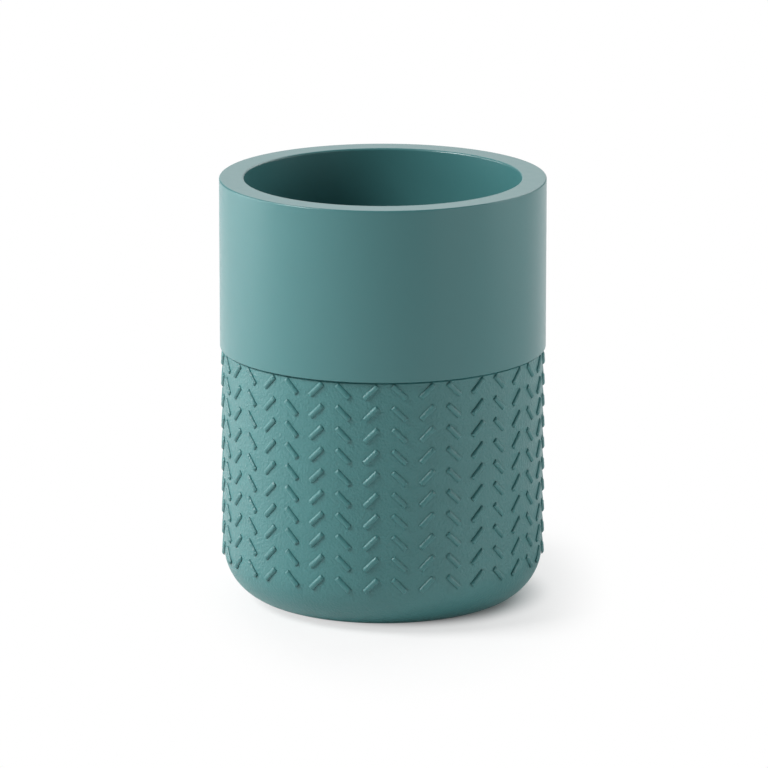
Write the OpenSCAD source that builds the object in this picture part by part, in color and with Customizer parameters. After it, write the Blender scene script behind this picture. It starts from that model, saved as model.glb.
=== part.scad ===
/* [Overall] */
// Height of the tumbler, from the table to the rim
height = 100.5; // [90:0.5:115]
// Outside diameter of the smooth upper band
band_d = 76; // [66:0.5:86]
// Height of the joint between the band and the sleeve
seam_height = 60.4; // [48:0.1:70]

/* [Inner cup] */
// Thickness of the cup's wall and floor
cup_wall = 2.2; // [1.6:0.1:2.6]
// Draft of the cup's wall, in degrees
cup_draft = 0.6; // [0.2:0.1:1]
// Radius between the cup's wall and its floor
cup_corner_r = 5; // [3:0.5:7]

/* [Rim] */
// Width of the flat rim, from the mouth to the band's outside
rim_w = 5.8; // [5.2:0.1:9]
// Thickness of the flat rim
rim_t = 2.4; // [1.8:0.1:3.2]
// Radius of the rim's inner edge
rim_inner_r = 0.5; // [0.3:0.05:1]
// Radius of the rim's outer edge
rim_outer_r = 0.35; // [0.2:0.05:0.6]
// Depth of the step under the rim that centres the band
rim_step = 3; // [2:0.5:6]

/* [Upper band] */
// Thickness of the band's wall
band_wall = 2.1; // [1.8:0.1:2.3]
// Radius of the band's lower outer edge
lip_r = 0.25; // [0.1:0.05:0.5]
// Lead-in chamfer inside the band's lower edge
lead_in = 0.4; // [0.2:0.05:0.6]

/* [Lower sleeve] */
// How far the sleeve stands back from the band
setback = 0.7; // [0.45:0.05:0.9]
// Radius of the rounded base
base_r = 12; // [9:0.5:13]
// Thickness of the sleeve's floor
sleeve_floor = 3; // [2.6:0.1:4]
// Height of the neck that plugs into the band
neck_h = 8; // [6:0.5:14]
// Radius of the snap bead round the neck
bead_r = 0.5; // [0.3:0.05:0.7]
// Chamfer of the shoulder under the band
shoulder_chamfer = 0.5; // [0.1:0.05:0.8]

/* [Seat of the cup] */
// Width of the ring in the sleeve that the cup stands on, and of the foot ring round it
seat_w = 2; // [1.2:0.1:3]
// Height of the ring that the cup stands on
seat_h = 1.5; // [1:0.1:2.5]
// Distance from the foot ring out to the cup's rounded corner
foot_inset = 5; // [2:0.5:10]

/* [Raised dashes] */
// Number of upright columns of dashes
dash_columns = 36; // [24:2:40]
// Height from one dash to the next
dash_pitch = 5.08; // [4.6:0.02:7]
// Length of a dash at its foot
dash_length = 4.5; // [3:0.1:4.7]
// Width of a dash at its foot
dash_width = 1.4; // [1.3:0.05:2.2]
// How far a dash stands out of the sleeve
dash_height = 0.4; // [0.2:0.05:0.45]
// How far a dash's sides lean in from foot to top
dash_lean = 0.3; // [0.2:0.05:0.5]
// Slant of the dashes from upright, in degrees
dash_slant = 45; // [35:1:55]
// Gap between the band and the top row of dashes
dash_gap = 0.3; // [0.2:0.05:1]
// How far the lowest row may run down onto the rounded base
dash_dip = 2.6; // [1.6:0.1:3]

/* [Base pad] */
// Width of the flat ring round the non-slip pad
pad_margin = 3.4; // [2:0.1:8]
// Thickness of the pad
pad_t = 1.6; // [1.2:0.1:2]
// How far the pad stands out below the base
pad_proud = 0.5; // [0.3:0.05:0.6]
// Radius of the pad's lower edge
pad_edge_r = 0.3; // [0.1:0.05:0.4]

/* [Fits] */
// Clearance round a plugged joint
plug_gap = 0.1; // [0.05:0.01:0.15]
// Clearance between the cup and the sleeve round it
wall_gap = 0.3; // [0.2:0.05:0.5]
// Clearance round the pad and round the seat ring
ring_gap = 0.2; // [0.1:0.05:0.3]

/* [Hidden] */
$fn = 180;
// Facets of the small edge radii in a preview
edge_fn = 48;
// How far a cutting shape runs past what it cuts
cut = 1;
// How far a dash's root goes into the wall
dash_root = 0.4;

cup_colour = "#5b9493";
band_colour = "#558e8d";
sleeve_colour = "#4f8886";
pad_colour = "#3b4142";

band_r = band_d / 2;
mouth_r = band_r - rim_w;
plug_r = band_r - band_wall;
neck_r = plug_r - plug_gap;
sleeve_r = band_r - setback;
rim_under = height - rim_t;

sleeve_base = pad_proud;
sleeve_floor_top = sleeve_base + sleeve_floor;
cup_under = sleeve_floor_top + seat_h;
cup_floor_top = cup_under + cup_wall;

neck_top = seam_height + neck_h;
bead_z = seam_height + neck_h / 2;
groove_r = bead_r + plug_gap;

foot_ring_r = corner_x(cup_wall, cup_under) - foot_inset - seat_w;
seat_r = foot_ring_r - ring_gap;
base_x = sleeve_r - base_r;
base_z = sleeve_base + base_r;
pad_r = base_x - pad_margin;
recess_r = pad_r + ring_gap;

// A dash's half height on the wall, with its slant
dash_reach = (dash_length * cos(dash_slant) + dash_width * sin(dash_slant)) / 2;
top_row_z = seam_height - dash_gap - dash_reach;
lowest_row_z = base_z - dash_dip + dash_reach;
dash_rows = 1 + floor((top_row_z - lowest_row_z) / dash_pitch);
column_angle = 360 / dash_columns;

// Radius, at a height, of the wall that lies a distance outside the cup's bore
function wall_r(out, z) = mouth_r - (height - z) * tan(cup_draft) + out / cos(cup_draft);

// Where the flat floor ends and the corner begins, a distance outside the cup's bore
function corner_x(out, floor_z) =
    wall_r(out, floor_z + cup_corner_r + out) - (cup_corner_r + out) / cos(cup_draft);

// Half section of a drafted pot that lies a distance outside the cup's bore
module pot_section(out, floor_z, top_z) {
    corner_r = cup_corner_r + out;
    centre = [corner_x(out, floor_z), floor_z + corner_r];
    tangent = centre + corner_r * [cos(cup_draft), -sin(cup_draft)];
    polygon([[0, floor_z], [centre.x, floor_z], tangent, [wall_r(out, top_z), top_z], [0, top_z]]);
    translate(centre)
        circle(corner_r);
}

// What rounding takes off a square outer corner, at a top edge (1) or a bottom edge (-1)
module corner_cut(corner, r, side) {
    centre = corner - [r, side * r];
    reach = r + cut;
    difference() {
        polygon([
            centre,
            centre + [reach, 0],
            centre + [reach, side * reach],
            centre + [0, side * reach]
        ]);
        translate(centre)
            circle(r, $fn = edge_fn);
    }
}

// What rounding takes off the rim's inner edge, on the drafted wall
module mouth_cut() {
    centre_z = height - rim_inner_r;
    centre_x = wall_r(0, centre_z) + rim_inner_r / cos(cup_draft);
    centre = [centre_x, centre_z];
    tangent = centre + rim_inner_r * [-cos(cup_draft), sin(cup_draft)];
    difference() {
        polygon([[0, tangent.y], tangent, [centre_x, height], [centre_x, height + cut], [0, height + cut]]);
        translate(centre)
            circle(rim_inner_r, $fn = edge_fn);
    }
}

// The ring under the cup that drops round the seat in the sleeve
module foot_ring_section() {
    translate([foot_ring_r, cup_under - seat_h + plug_gap])
        square([seat_w, seat_h]);
}

module inner_cup_section() {
    difference() {
        union() {
            pot_section(cup_wall, cup_under, height);
            translate([0, rim_under - rim_step])
                square([neck_r, rim_step]);
            translate([0, rim_under])
                square([band_r, rim_t]);
            foot_ring_section();
        }
        pot_section(0, cup_floor_top, height + cut);
        mouth_cut();
        corner_cut([band_r, height], rim_outer_r, 1);
    }
}

module inner_cup() {
    color(cup_colour)
        rotate_extrude()
            inner_cup_section();
}

module upper_band() {
    color(band_colour)
        rotate_extrude()
            difference() {
                translate([plug_r, seam_height])
                    square([band_wall, rim_under - seam_height]);
                corner_cut([band_r, seam_height], lip_r, -1);
                polygon([
                    [plug_r - cut, seam_height - cut],
                    [plug_r + lead_in + cut, seam_height - cut],
                    [plug_r - cut, seam_height + lead_in + cut]
                ]);
                translate([neck_r, bead_z])
                    circle(groove_r, $fn = edge_fn);
            }
}

// The sleeve's outline, without the cup's space in it
module sleeve_outline() {
    polygon([
        [0, sleeve_base],
        [base_x, sleeve_base],
        [sleeve_r, base_z],
        [sleeve_r, seam_height - shoulder_chamfer],
        [sleeve_r - shoulder_chamfer, seam_height],
        [neck_r, seam_height],
        [neck_r, neck_top - lead_in],
        [neck_r - lead_in, neck_top],
        [0, neck_top]
    ]);
    translate([base_x, base_z])
        circle(base_r);
    translate([neck_r, bead_z])
        circle(bead_r, $fn = edge_fn);
}

module sleeve_body() {
    rotate_extrude() {
        difference() {
            sleeve_outline();
            pot_section(cup_wall + wall_gap, sleeve_floor_top, neck_top + cut);
            translate([0, sleeve_base - cut])
                square([recess_r, pad_t - pad_proud + cut]);
        }
        translate([seat_r - seat_w, sleeve_floor_top])
            square([seat_w, seat_h]);
    }
}

// Section of a dash, from its root in the wall to its narrower top
module dash_section(size) {
    foot = size / 2;
    root = foot + dash_root * dash_lean / dash_height;
    top = foot - dash_lean;
    polygon([[-dash_root, -root], [dash_height, -top], [dash_height, top], [-dash_root, root]]);
}

// One upright dash on the wall, standing out along X
module dash() {
    intersection() {
        linear_extrude(2 * dash_length, center = true)
            dash_section(dash_width);
        rotate([90, 0, 0])
            linear_extrude(2 * dash_width, center = true)
                dash_section(dash_length);
    }
}

module dashes() {
    for (column = [0 : dash_columns - 1], row = [0 : dash_rows - 1]) {
        slant = column % 2 == 0 ? -dash_slant : dash_slant;
        rotate([0, 0, (column + 0.5) * column_angle])
            translate([sleeve_r, 0, top_row_z - row * dash_pitch])
                rotate([slant, 0, 0])
                    dash();
    }
}

module lower_sleeve() {
    color(sleeve_colour) {
        sleeve_body();
        dashes();
    }
}

module base_pad() {
    color(pad_colour)
        rotate_extrude()
            difference() {
                square([pad_r, pad_t]);
                corner_cut([pad_r, 0], pad_edge_r, -1);
            }
}

inner_cup();
upper_band();
lower_sleeve();
base_pad();
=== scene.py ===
import math

import bmesh
import bpy
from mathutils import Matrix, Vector


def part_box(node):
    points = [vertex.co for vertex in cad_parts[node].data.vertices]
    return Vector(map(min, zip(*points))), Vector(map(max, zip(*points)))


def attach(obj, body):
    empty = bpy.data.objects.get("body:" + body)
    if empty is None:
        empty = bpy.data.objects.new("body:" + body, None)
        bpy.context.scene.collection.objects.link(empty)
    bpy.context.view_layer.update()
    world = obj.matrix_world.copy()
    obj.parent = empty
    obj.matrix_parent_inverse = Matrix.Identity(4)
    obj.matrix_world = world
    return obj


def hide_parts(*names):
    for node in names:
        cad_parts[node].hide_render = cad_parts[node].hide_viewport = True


bl_info = {
    "name": "Bathroom Tumbler",
    "version": (1, 0, 0),
    "blender": (4, 5, 0),
    "location": "View3D > Sidebar > Tumbler",
    "description": "A tumbler with a smooth band over a sleeve of raised dashes",
    "category": "Add Mesh",
}

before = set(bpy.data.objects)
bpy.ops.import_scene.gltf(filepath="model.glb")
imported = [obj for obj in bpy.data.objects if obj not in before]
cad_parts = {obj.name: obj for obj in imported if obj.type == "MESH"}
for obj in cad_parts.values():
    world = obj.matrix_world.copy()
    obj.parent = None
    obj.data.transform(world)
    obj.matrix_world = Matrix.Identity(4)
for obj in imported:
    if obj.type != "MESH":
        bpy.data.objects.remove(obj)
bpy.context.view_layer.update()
CUP_LOW, CUP_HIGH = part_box("inner_cup")
BAND_LOW, BAND_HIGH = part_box("upper_band")
SLEEVE_LOW, SLEEVE_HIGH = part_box("lower_sleeve")
PAD_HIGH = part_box("base_pad")[1]

MM = 0.001
BODY = "root"

# Sides of every turned piece, a multiple of the columns of dashes
TURNED_SIDES = 288
# Steps of a rounded edge, from a plain chamfer to the largest radius
CHAMFER_STEPS = 1
FINE_STEPS = 4
EDGE_STEPS = 6
CORNER_STEPS = 12
BASE_STEPS = 20
# Edges that turn more than this stay sharp
SHARP_ANGLE = math.radians(32)
# How near a point counts as on a ring
RING_REACH = 0.004 * MM

# The Mix node's result for colours comes after those for numbers and for vectors
COLOUR_RESULT = 2
# Middle of a noise, which goes from 0 to 1
NOISE_MIDDLE = 0.5
# Finer layers of noise in the plastic and in the pad's rubber
PLASTIC_DETAIL = 2
RUBBER_DETAIL = 3
# Size of the faint clouds in the plastic's colour
CLOUD_SIZE = 7 * MM
# How far the clouds swing the colour of the shell and of the sleeve
SHELL_CLOUD_SHARE = 0.01
SLEEVE_CLOUD_SHARE = 0.06
# How far the fine grain swings the roughness
ROUGHNESS_SWING = 0.06
# Waves of the smooth moulded skin
SKIN_WAVE = 2.5 * MM
SKIN_DEPTH = 0.004 * MM
# Grain of the pad's rubber, and how far it swings the colour
PAD_GRAIN = 0.4 * MM
PAD_GRAIN_DEPTH = 0.03 * MM
PAD_TONE_SHARE = 0.2


def length(name, description, metres):
    """A size that the panel shows in the scene's unit of length"""
    return bpy.props.FloatProperty(
        name=name, description=description, default=metres, unit="LENGTH", precision=5
    )


def angle(name, description, degrees):
    """An angle that the panel shows in degrees"""
    return bpy.props.FloatProperty(
        name=name, description=description, default=math.radians(degrees), subtype="ANGLE"
    )


def share(name, description, value):
    """A plain number from 0 to 1"""
    return bpy.props.FloatProperty(
        name=name, description=description, default=value, min=0, max=1, precision=3
    )


def power(name, description, watts):
    """Power of a lamp"""
    return bpy.props.FloatProperty(
        name=name, description=description, default=watts, min=0, unit="POWER"
    )


def colour(name, description, value):
    """A colour, in linear values"""
    return bpy.props.FloatVectorProperty(
        name=name, description=description, default=value, size=3, min=0, max=1, subtype="COLOR"
    )


class TumblerSizes(bpy.types.PropertyGroup):
    """Sizes of the cup, band, sleeve and pad"""

    height: length("Height", "From the table to the rim", CUP_HIGH.z)
    band_diameter: length("Band diameter", "Outside diameter of the band", 2 * BAND_HIGH.x)
    seam_height: length("Seam height", "Height of the band's lower edge", BAND_LOW.z)
    rim_under: length("Rim underside", "Height of the band's upper edge", BAND_HIGH.z)
    neck_top: length("Neck top", "Height of the sleeve's neck inside the band", SLEEVE_HIGH.z)
    sleeve_base: length("Sleeve base", "Height of the sleeve's underside", SLEEVE_LOW.z)
    foot_base: length("Foot ring base", "Height of the cup's foot ring", CUP_LOW.z)
    pad_diameter: length("Pad diameter", "Diameter of the non-slip pad", 2 * PAD_HIGH.x)
    pad_top: length("Pad thickness", "Thickness of the non-slip pad", PAD_HIGH.z)
    rim_width: length("Rim width", "From the mouth to the band's outside", 5.8 * MM)
    rim_inner_radius: length("Rim inner radius", "Rounding at the mouth", 0.5 * MM)
    rim_outer_radius: length("Rim outer radius", "Rounding at the outside", 0.35 * MM)
    rim_step: length("Rim step", "Depth of the step that centres the band", 3 * MM)
    cup_wall: length("Cup wall", "Thickness of the cup's wall and floor", 2.2 * MM)
    cup_draft: angle("Cup draft", "How far the cup's wall leans from upright", 0.6)
    cup_corner: length("Cup corner", "Radius between the cup's wall and floor", 5 * MM)
    band_wall: length("Band wall", "Thickness of the band", 2.1 * MM)
    lip_radius: length("Lip radius", "Rounding of the band's lower edge", 0.25 * MM)
    lead_in: length("Lead-in", "Chamfer that guides the neck into the band", 0.4 * MM)
    setback: length("Setback", "How far the sleeve stands back from the band", 0.7 * MM)
    base_radius: length("Base radius", "Rounding of the sleeve's base", 12 * MM)
    shoulder: length("Shoulder chamfer", "Chamfer of the sleeve under the band", 0.5 * MM)
    sleeve_floor: length("Sleeve floor", "Thickness of the sleeve's floor", 3 * MM)
    bead_radius: length("Bead radius", "Radius of the snap bead on the neck", 0.5 * MM)
    seat_width: length("Seat width", "Width of the seat and foot rings", 2 * MM)
    seat_height: length("Seat height", "Height of the ring under the cup", 1.5 * MM)
    foot_inset: length("Foot inset", "From the foot ring to the cup's corner", 5 * MM)
    plug_gap: length("Plug gap", "Clearance round a plugged joint", 0.1 * MM)
    wall_gap: length("Wall gap", "Clearance between cup and sleeve", 0.3 * MM)
    ring_gap: length("Ring gap", "Clearance round the pad and the seat", 0.2 * MM)
    pad_edge: length("Pad edge", "Rounding of the pad's lower edge", 0.3 * MM)


class DashSizes(bpy.types.PropertyGroup):
    """Sizes of the raised dashes"""

    columns: bpy.props.IntProperty(
        name="Columns", description="Upright columns of dashes", default=36, min=2
    )
    rows: bpy.props.IntProperty(
        name="Rows", description="Dashes in a column", default=10, min=1
    )
    pitch: length("Pitch", "Height from one dash to the next", 5.08 * MM)
    length: length("Length", "Length of a dash at its foot", 4.5 * MM)
    width: length("Width", "Width of a dash at its foot", 1.4 * MM)
    height: length("Height", "How far a dash stands out", 0.52 * MM)
    slant: angle("Slant", "Slant of the dashes from upright", 45)
    gap: length("Gap", "From the band down to the top row", 0.3 * MM)
    corner: length("Corner", "Chamfer of a dash's four corners", 0.2 * MM)


class TumblerFinish(bpy.types.PropertyGroup):
    """Colours and surfaces of the pieces"""

    shell_colour: colour("Shell", "Colour of the cup and the band", (0.0545, 0.181, 0.186))
    sleeve_colour: colour("Sleeve", "Colour of the sleeve and its dashes", (0.0508, 0.182, 0.184))
    pad_colour: colour("Pad", "Colour of the non-slip pad", (0.03, 0.034, 0.036))
    shell_roughness: share("Shell roughness", "Satin of the cup and the band", 0.3)
    sleeve_roughness: share("Sleeve roughness", "Satin of the sleeve", 0.4)
    pad_roughness: share("Pad roughness", "Dullness of the pad", 0.7)
    pebble_size: length("Pebble size", "Size of the sleeve's fine pebbling", 0.6 * MM)
    pebble_depth: length("Pebble depth", "Depth of the sleeve's fine pebbling", 0.18 * MM)


class StageSettings(bpy.types.PropertyGroup):
    """Camera, lamps and floor"""

    camera_turn: angle("Camera turn", "Camera's way round the tumbler", -0.85)
    camera_rise: angle("Camera rise", "Camera's height above the horizon", 13.74)
    camera_distance: length("Camera distance", "From the aim to the camera", 1520 * MM)
    aim_height: length("Aim height", "Height that the camera aims at", 50.95 * MM)
    aim_side: length("Aim side", "How far right of the axis it aims", 0.26 * MM)
    lens: bpy.props.FloatProperty(
        name="Lens", description="Focal length in millimetres", default=304.95, min=1
    )
    key_power: power("Key lamp", "Power of the high softbox on the left", 11.3)
    left_power: power("Left lamp", "Power of the low softbox on the left", 4.8)
    front_power: power("Front lamp", "Power of the low softbox in front on the right", 1.5)
    right_power: power("Right lamp", "Power of the low softbox on the right", 2.75)
    rim_power: power("Rim lamp", "Power of the softbox behind on the right", 3.5)
    back_power: power("Back lamp", "Power of the high softbox behind", 2.03)
    low_back_power: power("Low back lamp", "Power of the low softbox behind", 0.84)
    ambient: bpy.props.FloatProperty(
        name="Ambient", description="Level of the studio's even light", default=0.115, min=0
    )
    floor_colour: colour("Floor", "Colour of the pale floor", (0.85, 0.85, 0.85))


class Value:
    """A socket in a shader, on which plain arithmetic adds Math nodes"""

    def __init__(self, shader, socket):
        self.shader = shader
        self.socket = socket

    def math(self, operation, first, second):
        settings = {"operation": operation}
        return self.shader.node("ShaderNodeMath", settings, {0: first, 1: second})

    def __add__(self, other):
        return self.math("ADD", self, other)

    def __radd__(self, other):
        return self.math("ADD", other, self)

    def __sub__(self, other):
        return self.math("SUBTRACT", self, other)

    def __rsub__(self, other):
        return self.math("SUBTRACT", other, self)

    def __mul__(self, other):
        return self.math("MULTIPLY", self, other)

    def __rmul__(self, other):
        return self.math("MULTIPLY", other, self)


class Shader:
    """The node tree of a material or of the world"""

    def __init__(self, owner):
        owner.use_nodes = True
        self.tree = owner.node_tree
        self.tree.nodes.clear()

    def node(self, kind, settings, inputs, output=0):
        """Adds a node, sets it up, feeds its sockets and gives one of its outputs"""
        made = self.tree.nodes.new(kind)
        for name, setting in settings.items():
            setattr(made, name, setting)
        for name, given in inputs.items():
            if isinstance(given, Value):
                self.tree.links.new(given.socket, made.inputs[name])
            else:
                made.inputs[name].default_value = given
        return Value(self, made.outputs[output]) if made.outputs else made

    def place(self):
        """Where a point is on the piece, in metres"""
        return self.node("ShaderNodeTexCoord", {}, {}, "Object")

    def distance(self, middle, stretch):
        """Distance of a point from a middle, with each axis stretched"""
        kind = "ShaderNodeVectorMath"
        offset = self.node(kind, {"operation": "SUBTRACT"}, {0: self.place(), 1: middle})
        stretched = self.node(kind, {"operation": "MULTIPLY"}, {0: offset, 1: stretch})
        return self.node(kind, {"operation": "LENGTH"}, {0: stretched}, "Value")

    def noise(self, place, size, detail):
        """Soft noise from 0 to 1 whose lumps are about one size across"""
        inputs = {"Vector": place, "Scale": 1 / size, "Detail": detail}
        return self.node("ShaderNodeTexNoise", {}, inputs)

    def blend(self, amount, first, second):
        """A colour between two colours"""
        settings = {"data_type": "RGBA"}
        inputs = {"Factor": amount, "A": (*first, 1), "B": (*second, 1)}
        return self.node("ShaderNodeMix", settings, inputs, COLOUR_RESULT)

    def smooth_range(self, value, low, high):
        """Goes smoothly from 0 at one value to 1 at another"""
        settings = {"interpolation_type": "SMOOTHSTEP"}
        inputs = {"Value": value, "From Min": low, "From Max": high}
        return self.node("ShaderNodeMapRange", settings, inputs)

    def bump(self, height, depth):
        """A surface direction that follows heights from 0 to 1"""
        return self.node("ShaderNodeBump", {}, {"Height": height, "Distance": depth})

    def plastic(self, base, roughness, normal):
        """The surface of a moulded piece"""
        inputs = {"Base Color": base, "Roughness": roughness, "Normal": normal}
        return self.node("ShaderNodeBsdfPrincipled", {}, inputs)

    def finish(self, surface):
        """Feeds the material's output"""
        self.node("ShaderNodeOutputMaterial", {}, {"Surface": surface})


def tinted(tone, amount):
    """A colour made darker or lighter by a share"""
    return tuple(channel * (1 + amount) for channel in tone)


def moulded_plastic(name, tone, roughness, pebble_size, pebble_depth, cloud):
    """Teal plastic: faint clouds in its colour, a fine pebbled skin and a satin gloss"""
    material = bpy.data.materials.new(name)
    shader = Shader(material)
    place = shader.place()
    clouds = shader.noise(place, CLOUD_SIZE, PLASTIC_DETAIL)
    pebbles = shader.noise(place, pebble_size, PLASTIC_DETAIL)
    base = shader.blend(clouds, tinted(tone, -cloud), tinted(tone, cloud))
    gloss = roughness + (pebbles - NOISE_MIDDLE) * ROUGHNESS_SWING
    normal = shader.bump(pebbles, pebble_depth)
    shader.finish(shader.plastic(base, gloss, normal))
    return material


def shell_plastic(finish):
    """Smooth satin plastic of the cup and the band"""
    return moulded_plastic(
        "satin_shell_plastic",
        finish.shell_colour,
        finish.shell_roughness,
        SKIN_WAVE,
        SKIN_DEPTH,
        SHELL_CLOUD_SHARE,
    )


def sleeve_plastic(finish):
    """Matte, finely pebbled plastic of the sleeve and its dashes"""
    return moulded_plastic(
        "pebbled_sleeve_plastic",
        finish.sleeve_colour,
        finish.sleeve_roughness,
        finish.pebble_size,
        finish.pebble_depth,
        SLEEVE_CLOUD_SHARE,
    )


def pad_rubber(finish):
    """Dull grey rubber with a fine grain"""
    material = bpy.data.materials.new("pad_rubber")
    shader = Shader(material)
    grain = shader.noise(shader.place(), PAD_GRAIN, RUBBER_DETAIL)
    tone = finish.pad_colour
    base = shader.blend(grain, tinted(tone, -PAD_TONE_SHARE), tinted(tone, PAD_TONE_SHARE))
    roughness = finish.pad_roughness + (grain - NOISE_MIDDLE) * ROUGHNESS_SWING
    shader.finish(shader.plastic(base, roughness, shader.bump(grain, PAD_GRAIN_DEPTH)))
    return material


def wall_radius(sizes, out, z):
    """Radius, at a height, of the drafted wall that lies a distance outside the bore"""
    mouth = sizes.band_diameter / 2 - sizes.rim_width
    lean = (sizes.height - z) * math.tan(sizes.cup_draft)
    return mouth - lean + out / math.cos(sizes.cup_draft)


def corner_reach(sizes, radius):
    """Distance from a drafted corner to where its rounding starts"""
    return radius * math.tan((math.pi / 2 - sizes.cup_draft) / 2)


def foot_ring(sizes):
    """Inner radius of the foot ring under the cup, and the cup's underside"""
    under = sizes.foot_base + sizes.seat_height - sizes.plug_gap
    radius = sizes.cup_corner + sizes.cup_wall
    corner = wall_radius(sizes, sizes.cup_wall, under + radius)
    flat_edge = corner - radius / math.cos(sizes.cup_draft)
    return flat_edge - sizes.foot_inset - sizes.seat_width, under


class Turning:
    """A turned piece, drawn ring by ring in edit mode"""

    def __init__(self, name, radius, z):
        bpy.ops.object.select_all(action="DESELECT")
        bpy.ops.mesh.primitive_circle_add(
            vertices=TURNED_SIDES, radius=radius, location=(0, 0, z)
        )
        bpy.ops.object.transform_apply()
        self.piece = bpy.context.object
        self.piece.name = name
        self.piece.data.name = name
        self.radius = radius
        self.z = z
        bpy.ops.object.mode_set(mode="EDIT")
        bpy.ops.mesh.select_mode(type="EDGE")
        bpy.ops.mesh.select_all(action="SELECT")

    def to(self, radius, z):
        """Extrudes the last ring to a new radius and height"""
        rise = {"value": (0, 0, z - self.z)}
        bpy.ops.mesh.extrude_region_move(TRANSFORM_OT_translate=rise)
        grow = radius / self.radius
        bpy.ops.transform.resize(value=(grow, grow, 1), center_override=(0, 0, z))
        self.radius = radius
        self.z = z

    def arc(self, radius, z, bulge, start, end):
        """Extrudes rings round part of a circle, at angles up from level"""
        for step in range(FINE_STEPS + 1):
            turn = start + (end - start) * step / FINE_STEPS
            self.to(radius + bulge * math.cos(turn), z + bulge * math.sin(turn))

    def select(self, *rings):
        """Selects the edges of the rings at these radii and heights"""
        bpy.ops.mesh.select_all(action="DESELECT")
        mesh = bmesh.from_edit_mesh(self.piece.data)
        for edge in mesh.edges:
            for radius, z in rings:
                edge.select |= all(
                    abs(v.co.xy.length - radius) < RING_REACH and abs(v.co.z - z) < RING_REACH
                    for v in edge.verts
                )
        mesh.select_flush_mode()
        bmesh.update_edit_mesh(self.piece.data)

    def close(self, radius, z):
        """Closes a ring with a fan that meets on the axis"""
        self.select((radius, z))
        bpy.ops.mesh.extrude_region_move()
        bpy.ops.mesh.merge(type="CENTER")

    def bridge(self, first, second):
        """Joins two open rings"""
        self.select(first, second)
        bpy.ops.mesh.bridge_edge_loops()

    def round(self, radius, z, reach, steps):
        """Rounds the edge at a ring"""
        self.select((radius, z))
        bpy.ops.mesh.bevel(offset=reach, segments=steps, affect="EDGES", clamp_overlap=False)

    def done(self):
        """Turns the faces outwards and leaves edit mode"""
        bpy.ops.mesh.select_all(action="SELECT")
        bpy.ops.mesh.normals_make_consistent(inside=False)
        bpy.ops.object.mode_set(mode="OBJECT")
        smooth(SHARP_ANGLE)
        return self.piece


def smooth(sharp_angle):
    """Shades the active piece smooth, with its flat faces kept flat"""
    bpy.ops.object.shade_smooth_by_angle(angle=sharp_angle)
    weighted = bpy.context.object.modifiers.new("even_normals", "WEIGHTED_NORMAL")
    weighted.keep_sharp = True
    bpy.ops.object.modifier_apply(modifier=weighted.name)


def dress(piece, material):
    """Gives a piece its material and the body that it rides on"""
    piece.data.materials.clear()
    piece.data.materials.append(material)
    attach(piece, BODY)


class TUMBLER_OT_make_cup(bpy.types.Operator):
    """Turn the inner cup with its flat rim, its step and its foot ring"""

    bl_idname = "tumbler.make_cup"
    bl_label = "Inner Cup"

    def execute(self, context):
        sizes = context.scene.tumbler_sizes
        finish = context.scene.tumbler_finish
        outside = sizes.band_diameter / 2
        mouth = outside - sizes.rim_width
        neck = outside - sizes.band_wall - sizes.plug_gap
        step_z = sizes.rim_under - sizes.rim_step
        foot, under = foot_ring(sizes)
        floor_z = under + sizes.cup_wall
        floor_edge = wall_radius(sizes, 0, floor_z)
        under_edge = wall_radius(sizes, sizes.cup_wall, under)

        cup = Turning("cup_with_rim", floor_edge, floor_z)
        cup.to(mouth, sizes.height)
        cup.to(outside, sizes.height)
        cup.to(outside, sizes.rim_under)
        cup.to(neck, sizes.rim_under)
        cup.to(neck, step_z)
        cup.to(wall_radius(sizes, sizes.cup_wall, step_z), step_z)
        cup.to(under_edge, under)
        cup.to(foot + sizes.seat_width, under)
        cup.to(foot + sizes.seat_width, sizes.foot_base)
        cup.to(foot, sizes.foot_base)
        cup.to(foot, under)
        cup.close(foot, under)
        cup.close(floor_edge, floor_z)
        outer_corner = sizes.cup_corner + sizes.cup_wall
        cup.round(under_edge, under, corner_reach(sizes, outer_corner), CORNER_STEPS)
        cup.round(floor_edge, floor_z, corner_reach(sizes, sizes.cup_corner), CORNER_STEPS)
        cup.round(mouth, sizes.height, sizes.rim_inner_radius, EDGE_STEPS)
        cup.round(outside, sizes.height, sizes.rim_outer_radius, FINE_STEPS)
        piece = cup.done()
        dress(piece, shell_plastic(finish))
        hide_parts("inner_cup")
        return {"FINISHED"}


class TUMBLER_OT_make_band(bpy.types.Operator):
    """Turn the smooth band with its snap groove"""

    bl_idname = "tumbler.make_band"
    bl_label = "Upper Band"

    def execute(self, context):
        sizes = context.scene.tumbler_sizes
        finish = context.scene.tumbler_finish
        outside = sizes.band_diameter / 2
        bore = outside - sizes.band_wall
        neck = bore - sizes.plug_gap
        groove = sizes.bead_radius + sizes.plug_gap
        groove_z = (sizes.seam_height + sizes.neck_top) / 2
        mouth_turn = math.acos(sizes.plug_gap / groove)

        band = Turning("smooth_band", bore, sizes.rim_under)
        band.to(outside, sizes.rim_under)
        band.to(outside, sizes.seam_height)
        band.to(bore + sizes.lead_in, sizes.seam_height)
        band.to(bore, sizes.seam_height + sizes.lead_in)
        band.arc(neck, groove_z, groove, -mouth_turn, mouth_turn)
        band.bridge((band.radius, band.z), (bore, sizes.rim_under))
        band.round(outside, sizes.seam_height, sizes.lip_radius, FINE_STEPS)
        piece = band.done()
        dress(piece, shell_plastic(finish))
        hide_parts("upper_band")
        return {"FINISHED"}


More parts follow.
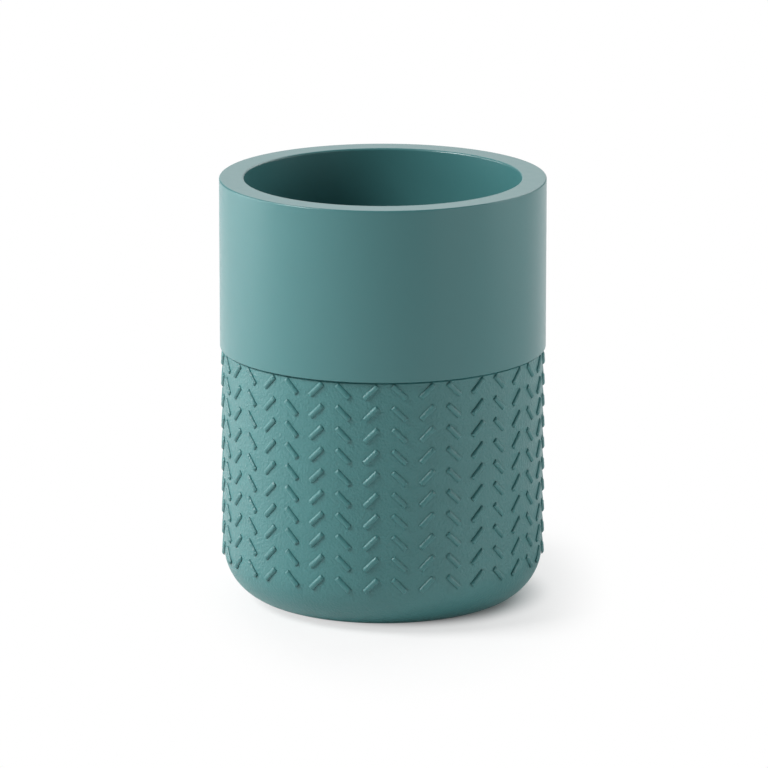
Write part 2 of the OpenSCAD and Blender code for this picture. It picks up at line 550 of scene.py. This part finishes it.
class TUMBLER_OT_make_sleeve(bpy.types.Operator):
    """Turn the lower sleeve with its rounded base, neck, seat and pad recess"""

    bl_idname = "tumbler.make_sleeve"
    bl_label = "Lower Sleeve"

    def execute(self, context):
        sizes = context.scene.tumbler_sizes
        finish = context.scene.tumbler_finish
        outside = sizes.band_diameter / 2 - sizes.setback
        neck = sizes.band_diameter / 2 - sizes.band_wall - sizes.plug_gap
        bead_z = (sizes.seam_height + sizes.neck_top) / 2
        recess = sizes.pad_diameter / 2 + sizes.ring_gap
        foot, under = foot_ring(sizes)
        seat = foot - sizes.ring_gap
        floor_z = sizes.sleeve_base + sizes.sleeve_floor
        pocket = sizes.cup_wall + sizes.wall_gap
        floor_edge = wall_radius(sizes, pocket, floor_z)

        sleeve = Turning("dashed_sleeve", recess, sizes.pad_top)
        sleeve.to(recess, sizes.sleeve_base)
        sleeve.to(outside, sizes.sleeve_base)
        sleeve.to(outside, sizes.seam_height)
        sleeve.to(neck, sizes.seam_height)
        sleeve.arc(neck, bead_z, sizes.bead_radius, -math.pi / 2, math.pi / 2)
        sleeve.to(neck, sizes.neck_top)
        sleeve.to(wall_radius(sizes, pocket, sizes.neck_top), sizes.neck_top)
        sleeve.to(floor_edge, floor_z)
        sleeve.to(seat, floor_z)
        sleeve.to(seat, under)
        sleeve.to(seat - sizes.seat_width, under)
        sleeve.to(seat - sizes.seat_width, floor_z)
        sleeve.close(seat - sizes.seat_width, floor_z)
        sleeve.close(recess, sizes.pad_top)
        pocket_corner = sizes.cup_corner + pocket
        sleeve.round(floor_edge, floor_z, corner_reach(sizes, pocket_corner), CORNER_STEPS)
        sleeve.round(neck, sizes.neck_top, sizes.lead_in, CHAMFER_STEPS)
        sleeve.round(outside, sizes.seam_height, sizes.shoulder, CHAMFER_STEPS)
        sleeve.round(outside, sizes.sleeve_base, sizes.base_radius, BASE_STEPS)
        piece = sleeve.done()
        dress(piece, sleeve_plastic(finish))
        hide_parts("lower_sleeve")
        return {"FINISHED"}


# Section of a dash: how far out from its middle and how far up its rings are, as shares
DASH_SHARES = ((0.92, 0.24), (0.8, 0.48), (0.64, 0.7), (0.44, 0.88), (0.2, 1))
# How far the foot's outer edge lies under the wall's surface
DASH_ROOT = 0.05 * MM


def model_dash(dashes):
    """Models one upright dash that stands out along X, with steep sides and a domed top"""
    bpy.ops.object.select_all(action="DESELECT")
    bpy.ops.mesh.primitive_plane_add(size=1, rotation=(0, math.pi / 2, 0))
    bpy.ops.object.transform_apply()
    dash = bpy.context.object
    half = dashes.width / 2
    half_length = dashes.length / 2
    bpy.ops.object.mode_set(mode="EDIT")
    bpy.ops.mesh.select_mode(type="FACE")
    bpy.ops.mesh.select_all(action="SELECT")
    bpy.ops.transform.resize(value=(1, dashes.width, dashes.length))
    bpy.ops.transform.translate(value=(-DASH_ROOT, 0, 0))
    bpy.ops.mesh.bevel(
        affect="VERTICES", offset=dashes.corner, segments=CHAMFER_STEPS, clamp_overlap=False
    )
    bpy.ops.mesh.select_all(action="SELECT")
    across = half
    along = half_length
    rise = -DASH_ROOT
    for across_share, rise_share in DASH_SHARES:
        next_across = half * across_share
        next_along = half_length - (half - next_across)
        next_rise = dashes.height * rise_share
        step = {"value": (next_rise - rise, 0, 0)}
        bpy.ops.mesh.extrude_region_move(TRANSFORM_OT_translate=step)
        bpy.ops.transform.resize(
            value=(1, next_across / across, next_along / along),
            center_override=(next_rise, 0, 0),
        )
        across = next_across
        along = next_along
        rise = next_rise
    bpy.ops.mesh.select_all(action="SELECT")
    bpy.ops.mesh.normals_make_consistent(inside=False)
    bpy.ops.object.mode_set(mode="OBJECT")
    return dash


def place_copy(piece, x, z, slant, turn):
    """Copies a piece, slants it where it stands and turns the copy round the axis"""
    bpy.ops.object.select_all(action="DESELECT")
    piece.select_set(True)
    bpy.context.view_layer.objects.active = piece
    bpy.ops.object.duplicate()
    copy = bpy.context.object
    copy.rotation_euler = (slant, 0, 0)
    bpy.ops.object.transform_apply()
    copy.location = (x, 0, z)
    bpy.ops.object.transform_apply()
    copy.rotation_euler = (0, 0, turn)
    bpy.ops.object.transform_apply()
    return copy


def stack(piece, count, drop):
    """Repeats a piece downwards"""
    rows = piece.modifiers.new("rows", "ARRAY")
    rows.count = count
    rows.use_relative_offset = False
    rows.use_constant_offset = True
    rows.constant_offset_displace = (0, 0, -drop)
    bpy.context.view_layer.objects.active = piece
    bpy.ops.object.modifier_apply(modifier=rows.name)


class TUMBLER_OT_make_dashes(bpy.types.Operator):
    """Model one raised dash and set its copies round the sleeve"""

    bl_idname = "tumbler.make_dashes"
    bl_label = "Raised Dashes"

    def execute(self, context):
        sizes = context.scene.tumbler_sizes
        dashes = context.scene.dash_sizes
        finish = context.scene.tumbler_finish
        wall = sizes.band_diameter / 2 - sizes.setback
        upright = dashes.length * math.cos(dashes.slant) + dashes.width * math.sin(dashes.slant)
        top_z = sizes.seam_height - dashes.gap - upright / 2

        dash = model_dash(dashes)
        columns = []
        for column in range(dashes.columns):
            slant = -dashes.slant if column % 2 == 0 else dashes.slant
            turn = (column + 0.5) * math.tau / dashes.columns
            copy = place_copy(dash, wall, top_z, slant, turn)
            stack(copy, dashes.rows, dashes.pitch)
            columns.append(copy)
        bpy.data.objects.remove(dash)

        bpy.ops.object.select_all(action="DESELECT")
        for copy in columns:
            copy.select_set(True)
        context.view_layer.objects.active = columns[0]
        bpy.ops.object.join()
        piece = context.object
        piece.name = "raised_dashes"
        piece.data.name = "raised_dashes"
        smooth(math.pi)
        dress(piece, sleeve_plastic(finish))
        return {"FINISHED"}


class TUMBLER_OT_make_pad(bpy.types.Operator):
    """Turn the non-slip pad under the base"""

    bl_idname = "tumbler.make_pad"
    bl_label = "Base Pad"

    def execute(self, context):
        sizes = context.scene.tumbler_sizes
        radius = sizes.pad_diameter / 2
        pad = Turning("nonslip_pad", radius, sizes.pad_top)
        pad.to(radius, 0)
        pad.close(radius, 0)
        pad.close(radius, sizes.pad_top)
        pad.round(radius, 0, sizes.pad_edge, FINE_STEPS)
        piece = pad.done()
        dress(piece, pad_rubber(context.scene.tumbler_finish))
        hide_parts("base_pad")
        return {"FINISHED"}


# The softboxes: name, way round from the front and height above the horizon in degrees,
# width and height in metres, and the setting that holds the power
SOFTBOXES = (
    ("key_softbox", -74, 40, 0.45, 0.4, "key_power"),
    ("left_softbox", -105, 8, 0.6, 0.42, "left_power"),
    ("front_softbox", 50, 8, 0.6, 0.42, "front_power"),
    ("right_softbox", 90, 8, 0.6, 0.42, "right_power"),
    ("rim_softbox", 135, 33, 0.6, 0.55, "rim_power"),
    ("back_softbox", 180, 38, 0.7, 0.55, "back_power"),
    ("low_back_softbox", 180, 10, 0.7, 0.45, "low_back_power"),
)
# Distance of the softboxes from the aim, and side of the floor, in metres
SOFTBOX_DISTANCE = 1
FLOOR_SIZE = 8
# Nearest place that the camera sees, as a share of its distance
CLIP_SHARE = 0.1
# Where a painted white glow, seen only by the camera, starts to lift the lamps' shadow on the
# floor
# close round the base: the middle, and the nearest and farthest distance from it
CONTACT_MIDDLE = (6 * MM, 4 * MM, 0)
CONTACT_NEAR = 24 * MM
CONTACT_FAR = 35 * MM
# How much of the change into white is made there, as a share
CONTACT_SHARE = 0.65
# Where it makes the rest of the change, along an oval that reaches out towards the camera
SHADE_MIDDLE = (4 * MM, 10 * MM, 0)
SHADE_STRETCH = (2.1, 1, 1)
SHADE_NEAR = 63 * MM
SHADE_FAR = 108 * MM


def look_from(turn, rise, distance, target):
    """A place round a target, and the rotation that looks at the target from there"""
    back = Vector((
        math.sin(turn) * math.cos(rise),
        -math.cos(turn) * math.cos(rise),
        math.sin(rise),
    ))
    return target + back * distance, (-back).to_track_quat("-Z", "Y").to_euler()


def floor_surface(tone):
    """Pale floor that takes the lamps' shadow, with a painted white glow seen only by the camera
    that lifts the shadow away from the base into the white background
    """
    material = bpy.data.materials.new("pale_floor")
    shader = Shader(material)
    contact = shader.distance(CONTACT_MIDDLE, (1, 1, 1))
    shade = shader.distance(SHADE_MIDDLE, SHADE_STRETCH)
    near = shader.smooth_range(contact, CONTACT_NEAR, CONTACT_FAR)
    far = shader.smooth_range(shade, SHADE_NEAR, SHADE_FAR)
    fade = near * CONTACT_SHARE + far * (1 - CONTACT_SHARE)
    # Painted light: camera rays see white emission in place of the lit floor, more of it farther
    # from the base
    seen = shader.node("ShaderNodeLightPath", {}, {}, "Is Camera Ray")
    matte = shader.node("ShaderNodeBsdfDiffuse", {}, {"Color": (*tone, 1)})
    white = shader.node("ShaderNodeEmission", {}, {"Strength": 1})
    shader.finish(shader.node("ShaderNodeMixShader", {}, {0: seen * fade, 1: matte, 2: white}))
    return material


def light_world(world, ambient):
    """White background, with an even dim light from all round"""
    shader = Shader(world)
    seen = shader.node("ShaderNodeLightPath", {}, {}, "Is Camera Ray")
    strength = ambient + seen * (1 - ambient)
    surface = shader.node("ShaderNodeBackground", {}, {"Strength": strength})
    shader.node("ShaderNodeOutputWorld", {}, {"Surface": surface})


class TUMBLER_OT_make_stage(bpy.types.Operator):
    """Set the pale floor, the softboxes, the world and the camera"""

    bl_idname = "tumbler.make_stage"
    bl_label = "Stage"

    def execute(self, context):
        stage = context.scene.stage_settings
        bpy.ops.object.select_all(action="DESELECT")
        bpy.ops.mesh.primitive_plane_add(size=FLOOR_SIZE)
        floor = context.object
        floor.name = "pale_floor"
        floor.data.materials.append(floor_surface(stage.floor_colour))

        target = Vector((0, 0, stage.aim_height))
        for name, turn, rise, width, height, setting in SOFTBOXES:
            place, rotation = look_from(
                math.radians(turn), math.radians(rise), SOFTBOX_DISTANCE, target
            )
            bpy.ops.object.light_add(type="AREA", location=place, rotation=rotation)
            lamp = context.object
            lamp.name = name
            lamp.visible_camera = False
            lamp.data.shape = "RECTANGLE"
            lamp.data.size = width
            lamp.data.size_y = height
            lamp.data.energy = getattr(stage, setting)

        world = bpy.data.worlds.new("studio")
        context.scene.world = world
        light_world(world, stage.ambient)
        context.scene.view_settings.view_transform = "Standard"

        side = Vector((math.cos(stage.camera_turn), math.sin(stage.camera_turn), 0))
        place, rotation = look_from(
            stage.camera_turn,
            stage.camera_rise,
            stage.camera_distance,
            target + side * stage.aim_side,
        )
        bpy.ops.object.camera_add(location=place, rotation=rotation)
        camera = context.object
        camera.data.lens = stage.lens
        camera.data.clip_start = stage.camera_distance * CLIP_SHARE
        camera.data.clip_end = FLOOR_SIZE
        context.scene.camera = camera
        return {"FINISHED"}


class VIEW3D_PT_tumbler(bpy.types.Panel):
    """Sizes, finishes, stage and makers of the tumbler"""

    bl_label = "Bathroom Tumbler"
    bl_idname = "VIEW3D_PT_tumbler"
    bl_space_type = "VIEW_3D"
    bl_region_type = "UI"
    bl_category = "Tumbler"

    def draw(self, context):
        for group_name in GROUPS:
            group = getattr(context.scene, group_name)
            box = self.layout.box()
            for name in group.bl_rna.properties.keys():
                if name not in {"rna_type", "name"}:
                    box.prop(group, name)
        for maker in MAKERS:
            self.layout.operator(maker.bl_idname)


GROUPS = {
    "tumbler_sizes": TumblerSizes,
    "dash_sizes": DashSizes,
    "tumbler_finish": TumblerFinish,
    "stage_settings": StageSettings,
}
MAKERS = (
    TUMBLER_OT_make_cup,
    TUMBLER_OT_make_band,
    TUMBLER_OT_make_sleeve,
    TUMBLER_OT_make_dashes,
    TUMBLER_OT_make_pad,
    TUMBLER_OT_make_stage,
)


def register():
    for name, group in GROUPS.items():
        bpy.utils.register_class(group)
        setattr(bpy.types.Scene, name, bpy.props.PointerProperty(type=group))
    for maker in MAKERS:
        bpy.utils.register_class(maker)
    bpy.utils.register_class(VIEW3D_PT_tumbler)


def unregister():
    bpy.utils.unregister_class(VIEW3D_PT_tumbler)
    for maker in reversed(MAKERS):
        bpy.utils.unregister_class(maker)
    for name, group in reversed(GROUPS.items()):
        delattr(bpy.types.Scene, name)
        bpy.utils.unregister_class(group)


def main():
    """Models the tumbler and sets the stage"""
    register()
    bpy.ops.tumbler.make_cup()
    bpy.ops.tumbler.make_band()
    bpy.ops.tumbler.make_sleeve()
    bpy.ops.tumbler.make_dashes()
    bpy.ops.tumbler.make_pad()
    bpy.ops.tumbler.make_stage()


if __name__ == "__main__":
    main()
